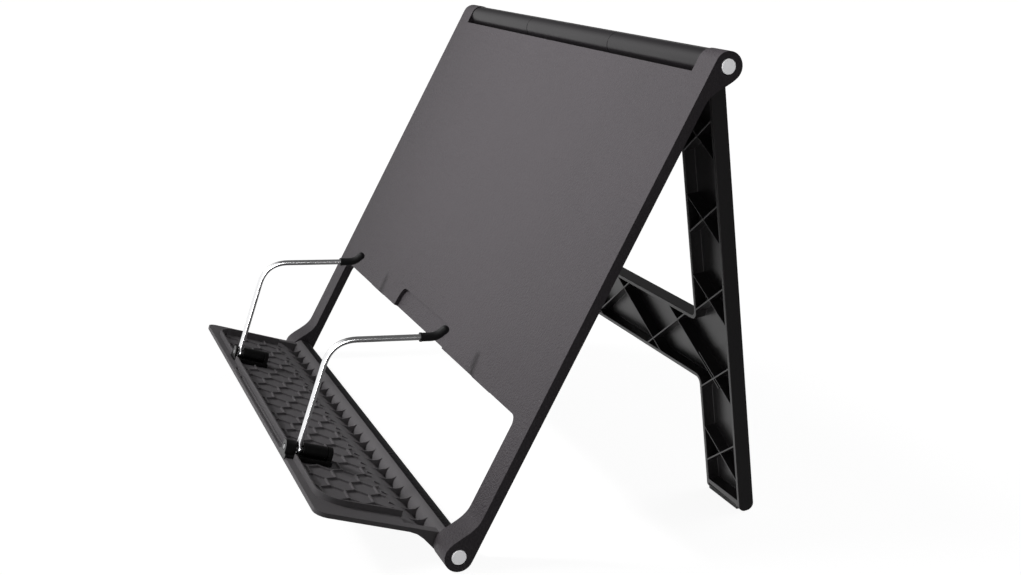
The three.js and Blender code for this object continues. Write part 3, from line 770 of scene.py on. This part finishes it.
@dataclass
class Tray:
    """The tray with its barrel covers and bushes, and the brackets of the page arms.

    Heights and distances back from the hinge are measured in the tray's own level.
    """

    edge: float = 0.16 * MM
    cover_edge: float = 0.25 * MM
    bracket_edge: float = 0.25 * MM
    face_limit: float = 0.5
    barrel_radius: float = 6.5 * MM
    barrel_skin: float = 0.975         # share of the barrel's radius from which a face is outside
    round_limit: float = 0.9           # cosine of how far an outside face may turn from the radius
    rib_pitch: float = 1.7 * MM
    rib_depth: float = 0.22 * MM
    trough_reach: float = 20.4 * MM
    trough_top: float = 2.75 * MM
    thin_rib: float = 2.0 * MM
    band_start: float = 0.88           # share of the barrel's radius where the curved band begins
    band_top: float = 5.7 * MM
    band_end: float = 1.8 * MM

    def build(self) -> None:
        """Makes the tray with painted shade on its sides and trough, its ribbed covers and its
        brackets.
        """
        bm = copy_of("tray")
        soften(bm, self.edge)
        # painted shade: faces that do not look up are near-black
        paint_shade_by_facing(bm, leaned(TRAY_LEAN, (0, 0, 1)), self.face_limit)
        self.paint_trough_shade(bm)
        finishes = (Finish.TRAY, Finish.PANEL_SIDE)
        Piece("tray_shell", "tray", "tray_plastic", finishes, "tray").finish(bm)
        for place in Place:
            self.cover(place)
        for side in Side:
            node = f"arm_bracket_{side}"
            softened(
                node, f"{node}_moulded", "tray", "pivot_plastic", Finish.PIVOT, self.bracket_edge)
            DRESSER.dress_node(f"bottom_friction_bush_{side}", Finish.NYLON)
            DRESSER.dress_node(f"arm_swivel_pin_{side}", Finish.STEEL)

    def paint_trough_shade(self, bm: bmesh.types.BMesh) -> None:
        """Paints shade on the trough between its thin ribs, and on the band by the barrel, by
        putting them in the second slot.

        Args:
            bm: the tray's shape.
        """
        hinge = joint_place("tray_hinge")
        # painted shade: the deep trough and the barrel's front band go near-black
        for face in bm.faces:
            at = leaned(-TRAY_LEAN, face.calc_center_median() - hinge)
            across = [vert.co.x for vert in face.verts]
            in_band = at.y >= -self.barrel_radius * self.band_start
            top = self.band_top if in_band else self.trough_top
            in_trough = -self.trough_reach < at.y < -self.band_end and at.z < top
            if in_trough and max(across) - min(across) > self.thin_rib:
                face.material_index = 1

    def cover(self, place: Place) -> None:
        """Makes a barrel cover with fine ribs round the barrel.

        Args:
            place: where along the barrel it sits.
        """
        node = f"tray_barrel_cover_{place}"
        axis = joint_place("tray_hinge")
        bm = copy_of(node)
        soften(bm, self.cover_edge)

        def outside(face: bmesh.types.BMFace) -> bool:
            """Tells whether a face is on the cover's round outside.

            Args:
                face: the face.

            Returns:
                Whether it is.
            """
            radial = face.calc_center_median() - axis
            radial.x = 0
            turned_out = radial.normalized().dot(face.normal) > self.round_limit
            return turned_out and radial.length > self.barrel_radius * self.barrel_skin

        groove(bm, self.rib_pitch, self.rib_depth, outside)
        Piece(f"{node}_ribbed", "tray", "cover_plastic", (Finish.COVER,), node).finish(bm)


@dataclass
class PageArm:
    """One page arm: a bent wire with an eye at its foot, its swivel sleeve and its rubber tip."""

    side: Side
    height: float = 55.8 * MM
    reach: float = 51.0 * MM
    rise: float = 13.4 * MM
    hook_reach: float = 3.4 * MM
    hook_rise: float = 4.4 * MM
    bend: float = 13.0 * MM
    hook_bend: float = 3.0 * MM
    radius: float = 1.5 * MM
    eye_radius: float = 3.3 * MM
    eye_wire: float = 0.85 * MM
    tip_radius: float = 2.2 * MM
    tip_length: float = 8.4 * MM
    wire_in_tip: float = 5.4 * MM
    bead_radius: float = 2.35 * MM
    bead_length: float = 0.9 * MM
    sleeve_edge: float = 0.25 * MM
    sides: int = 20
    eye_sides: int = 12
    eye_steps: int = 28
    ball_rings: int = 12
    post_steps: int = 6
    bend_steps: int = 14
    mouth_steps: int = 3
    hook_steps: int = 8

    def __post_init__(self) -> None:
        """Works out the arm's corners from its swivel."""
        self.along = leaned(TRAY_LEAN, (0, 1, 0))
        self.up = leaned(TRAY_LEAN, (0, 0, 1))
        self.foot = joint_place(f"arm_{self.side}_swivel")
        self.shoulder = self.foot + self.up * self.height
        self.hook = self.shoulder + self.along * self.reach + self.up * self.rise
        self.end = self.hook + self.along * self.hook_reach + self.up * self.hook_rise

    def build(self) -> None:
        """Makes the wire, the tip and the sleeve."""
        body = f"arm_{self.side}"
        self.wire(body)
        self.tip(body)
        node = f"arm_swivel_sleeve_{self.side}"
        softened(node, f"{node}_moulded", body, "pivot_plastic", Finish.PIVOT, self.sleeve_edge)

    @staticmethod
    def towards(start: Vector, goal: Vector, distance: float) -> Vector:
        """The point at a distance from one point towards another."""
        return start + (goal - start).normalized() * distance

    @staticmethod
    def straight(start: Vector, goal: Vector, steps: int) -> list[Vector]:
        """Evenly spaced points from one point towards another, without the last one."""
        return [start.lerp(goal, share / steps) for share in range(steps)]

    @staticmethod
    def curve(start: Vector, corner: Vector, end: Vector, steps: int) -> list[Vector]:
        """Points of a bend, its first and last point included.

        Args:
            start: where the bend starts.
            corner: the corner that it rounds.
            end: where it ends.
            steps: number of parts.

        Returns:
            The points.
        """
        points = []
        for index in range(steps + 1):
            share = index / steps
            points.append(start.lerp(corner, share).lerp(corner.lerp(end, share), share))
        return points

    def wire(self, body: str) -> None:
        """Makes the bent wire and the eye at its foot.

        Args:
            body: the body that it rides on.
        """
        start = self.towards(self.foot, self.shoulder, self.eye_radius - self.eye_wire)
        bend_in = self.towards(self.shoulder, self.foot, self.bend)
        bend_out = self.towards(self.shoulder, self.hook, self.bend)
        last = self.towards(self.hook, self.shoulder, self.tip_length - self.wire_in_tip)
        path = self.straight(start, bend_in, self.post_steps)
        path += self.curve(bend_in, self.shoulder, bend_out, self.bend_steps)
        path += [bend_out.lerp(last, 0.5), last]
        bm = bmesh.new()
        round_bar(bm, path, self.radius, self.sides)
        self.eye(bm)
        node = f"page_arm_wire_{self.side}"
        Piece(f"{node}_bent", body, "wire_chrome", (Finish.CHROME,), node).finish(bm)

    def eye(self, bm: bmesh.types.BMesh) -> None:
        """Adds the ring at the wire's foot, round the swivel pin.

        Args:
            bm: the bmesh that gets the ring.
        """
        ring = bmesh.ops.create_circle(
            bm, cap_ends=False, radius=self.eye_wire, segments=self.eye_sides)["verts"]
        out = self.foot + self.up * (self.eye_radius - self.eye_wire)
        axes = Matrix((Vector((1, 0, 0)), self.along, self.up)).transposed().to_4x4()
        upright = Matrix.Rotation(math.radians(90), 4, "Y")
        bmesh.ops.transform(bm, matrix=Matrix.Translation(out) @ axes @ upright, verts=ring)
        edges = list({edge for vert in ring for edge in vert.link_edges})
        bmesh.ops.spin(
            bm, geom=[*ring, *edges], cent=self.foot, axis=self.along, angle=math.radians(360),
            steps=self.eye_steps, use_merge=True)
        bmesh.ops.recalc_face_normals(bm, faces=bm.faces)

    def tip(self, body: str) -> None:
        """Makes the hooked rubber tip with a bead at its mouth.

        Args:
            body: the body that it rides on.
        """
        mouth = self.towards(self.hook, self.shoulder, self.tip_length)
        bend_in = self.towards(self.hook, self.shoulder, self.hook_bend)
        bend_out = self.towards(self.hook, self.end, self.hook_bend)
        bead_end = self.towards(mouth, self.hook, self.bead_length)
        path = self.straight(mouth, bend_in, self.mouth_steps)
        path += [*self.curve(bend_in, self.hook, bend_out, self.hook_steps), self.end]
        bm = bmesh.new()
        round_bar(bm, path, self.tip_radius, self.sides)
        round_bar(bm, [mouth, bead_end], self.bead_radius, self.sides)
        bmesh.ops.create_uvsphere(
            bm, u_segments=self.sides, v_segments=self.ball_rings, radius=self.tip_radius,
            matrix=Matrix.Translation(self.end))
        bmesh.ops.recalc_face_normals(bm, faces=bm.faces)
        node = f"page_arm_tip_{self.side}"
        Piece(f"{node}_sleeve", body, "tip_rubber", (Finish.TIP,), node).finish(bm)


# ---- studio ------------------------------------------------------------------------------------


@dataclass(frozen=True)
class Sun:
    """A distant soft lamp: its direction from the stand, its strength and its spread in degrees."""

    name: str
    direction: Triple
    strength: float
    spread: float

    def hang(self) -> bpy.types.Object:
        """Adds the lamp to the scene.

        Returns:
            The lamp.
        """
        light = bpy.data.lights.new(self.name, "SUN")
        light.energy = self.strength
        light.angle = math.radians(self.spread)
        return hung(light, Vector((0, 0, 0)), Vector(self.direction))


@dataclass(frozen=True)
class Spot:
    """A lamp with a soft-edged beam: its power in watts, its beam in degrees and its aim."""

    name: str
    power: float
    beam: float
    place: Triple
    aim: Triple
    size: float

    def hang(self) -> bpy.types.Object:
        """Adds the lamp to the scene.

        Returns:
            The lamp.
        """
        light = bpy.data.lights.new(self.name, "SPOT")
        light.energy = self.power
        light.spot_size = math.radians(self.beam)
        light.spot_blend = 1.0
        light.shadow_soft_size = self.size
        return hung(light, Vector(self.place), Vector(self.place) - Vector(self.aim))


def hung(light: bpy.types.Light, place: Vector, back: Vector) -> bpy.types.Object:
    """Puts a lamp in the scene.

    Args:
        light: the lamp's settings.
        place: where it hangs.
        back: the direction from what it lights to the lamp.

    Returns:
        The lamp.
    """
    thing = bpy.data.objects.new(light.name, light)
    thing.location = place
    thing.rotation_mode = "QUATERNION"
    thing.rotation_quaternion = back.to_track_quat("Z", "Y")
    bpy.context.scene.collection.objects.link(thing)
    return thing


@dataclass
class Studio:
    """Floor, sky, lamps and camera."""

    key: Sun = Sun("key_light", (-0.30, -0.62, 0.74), 0.5, 24.0)
    side: Sun = Sun("side_light", (1.0, -0.12, 0.1), 3.0, 30.0)
    back: Sun = Sun("back_light", (-0.15, 0.85, 0.45), 0.4, 40.0)
    panel: Spot = Spot("panel_light", 29.0, 36.0, (-0.3, -0.75, 0.75), (0.04, 0.07, 0.235), 0.1)
    sky_seen: float = 1.0
    sky_light: float = 0.09
    sky_bright: float = 1.1
    sky_dim: float = 0.12
    bright_side: Triple = (0.0, -1.0, 0.0)
    bright_from: float = -0.05
    bright_full: float = 0.38
    floor_size: float = 60.0
    floor_gap: float = 0.05 * MM
    floor_greys: tuple[Triple, Triple] = ((0.34, 0.34, 0.34), (0.38, 0.38, 0.38))
    floor_clouds: float = 3.0
    floor_roughness: float = 0.9
    floor_glow: float = 0.93
    eye: Triple = (0.70324, -0.18186, 0.27291)      # camera from the bottom hinge's axis
    right: Triple = (0.35319, 0.93541, 0.01633)
    up: Triple = (-0.22877, 0.06943, 0.97100)
    lens: float = 48.74
    sensor: float = 36.0
    shift_y: float = -0.0237
    nearest: float = 0.01
    farthest: float = 200.0

    def build(self) -> None:
        """Sets up the whole studio; the side lamp is for bright metal only."""
        self.sky()
        self.floor()
        self.key.hang()
        self.side.hang().light_linking.receiver_collection = DRESSER.bright_metal
        self.back.hang()
        self.panel.hang()
        self.camera()

    def sky(self) -> None:
        """White round the stand, dim as a light, and bright in reflections on the front side."""
        world = bpy.data.worlds.new("studio_sky")
        bpy.context.scene.world = world
        world.use_nodes = True
        nodes = Nodes(world.node_tree)
        where = nodes.node("ShaderNodeTexCoord", {}, {}, "Generated")
        facing = nodes.node(
            "ShaderNodeVectorMath", {"operation": "DOT_PRODUCT"}, {0: where, 1: self.bright_side},
            "Value")
        level = nodes.node(
            "ShaderNodeMapRange", {"interpolation_type": "SMOOTHSTEP"},
            {0: facing, 1: self.bright_from, 2: self.bright_full, 3: self.sky_dim,
             4: self.sky_bright})
        seen, light, mirrored = (
            nodes.node("ShaderNodeBackground", {}, {"Color": WHITE, "Strength": strength})
            for strength in (self.sky_seen, self.sky_light, level))
        in_gloss = nodes.node("ShaderNodeLightPath", {}, {}, "Is Glossy Ray")
        in_view = nodes.node("ShaderNodeLightPath", {}, {}, "Is Camera Ray")
        unseen = nodes.node("ShaderNodeMixShader", {}, {0: in_gloss, 1: light, 2: mirrored})
        whole = nodes.node("ShaderNodeMixShader", {}, {0: in_view, 1: unseen, 2: seen})
        nodes.close("ShaderNodeOutputWorld", whole)

    def floor(self) -> None:
        """Makes the plain pale floor under the stand, which no piece mirrors."""
        bm = bmesh.new()
        bmesh.ops.create_grid(bm, x_segments=1, y_segments=1, size=self.floor_size / 2)
        down = Matrix.Translation((0, 0, CAD_BOX[0].z - self.floor_gap))
        bmesh.ops.transform(bm, matrix=down, verts=bm.verts)
        mesh = bpy.data.meshes.new("studio_floor")
        bm.to_mesh(mesh)
        bm.free()
        floor = bpy.data.objects.new("studio_floor", mesh)
        bpy.context.scene.collection.objects.link(floor)
        recipe = Recipe("studio_floor_paint")
        recipe.set(
            Base_Color=recipe.blend(recipe.noise(self.floor_clouds, detail=3.0), *self.floor_greys),
            Roughness=self.floor_roughness,
            Specular_IOR_Level=0.0,
            Emission_Color=WHITE,
            Emission_Strength=self.floor_glow,
        )
        mesh.materials.append(recipe.material)
        floor.visible_diffuse = False
        floor.visible_glossy = False

    def camera(self) -> None:
        """Places the camera from the bottom hinge's axis."""
        data = bpy.data.cameras.new("studio_camera")
        data.lens = self.lens
        data.sensor_width = self.sensor
        data.sensor_fit = "HORIZONTAL"
        data.shift_y = self.shift_y
        data.clip_start = self.nearest
        data.clip_end = self.farthest
        camera = bpy.data.objects.new("studio_camera", data)
        right, up = Vector(self.right), Vector(self.up)
        axes = Matrix((right, up, right.cross(up))).transposed().to_4x4()
        place = joint_place("tray_hinge") + Vector(self.eye)
        camera.matrix_world = Matrix.Translation(place) @ axes
        bpy.context.scene.collection.objects.link(camera)
        bpy.context.scene.camera = camera


def main() -> None:
    """Builds the stand's sub-assemblies in order, then the studio round them."""
    logging.basicConfig(level=logging.INFO, format="%(message)s")
    bpy.context.scene.view_settings.view_transform = "Standard"
    BackPanel().build()
    LegFrame().build()
    Tray().build()
    for side in Side:
        PageArm(side).build()
    Studio().build()


if __name__ == "__main__":
    main()
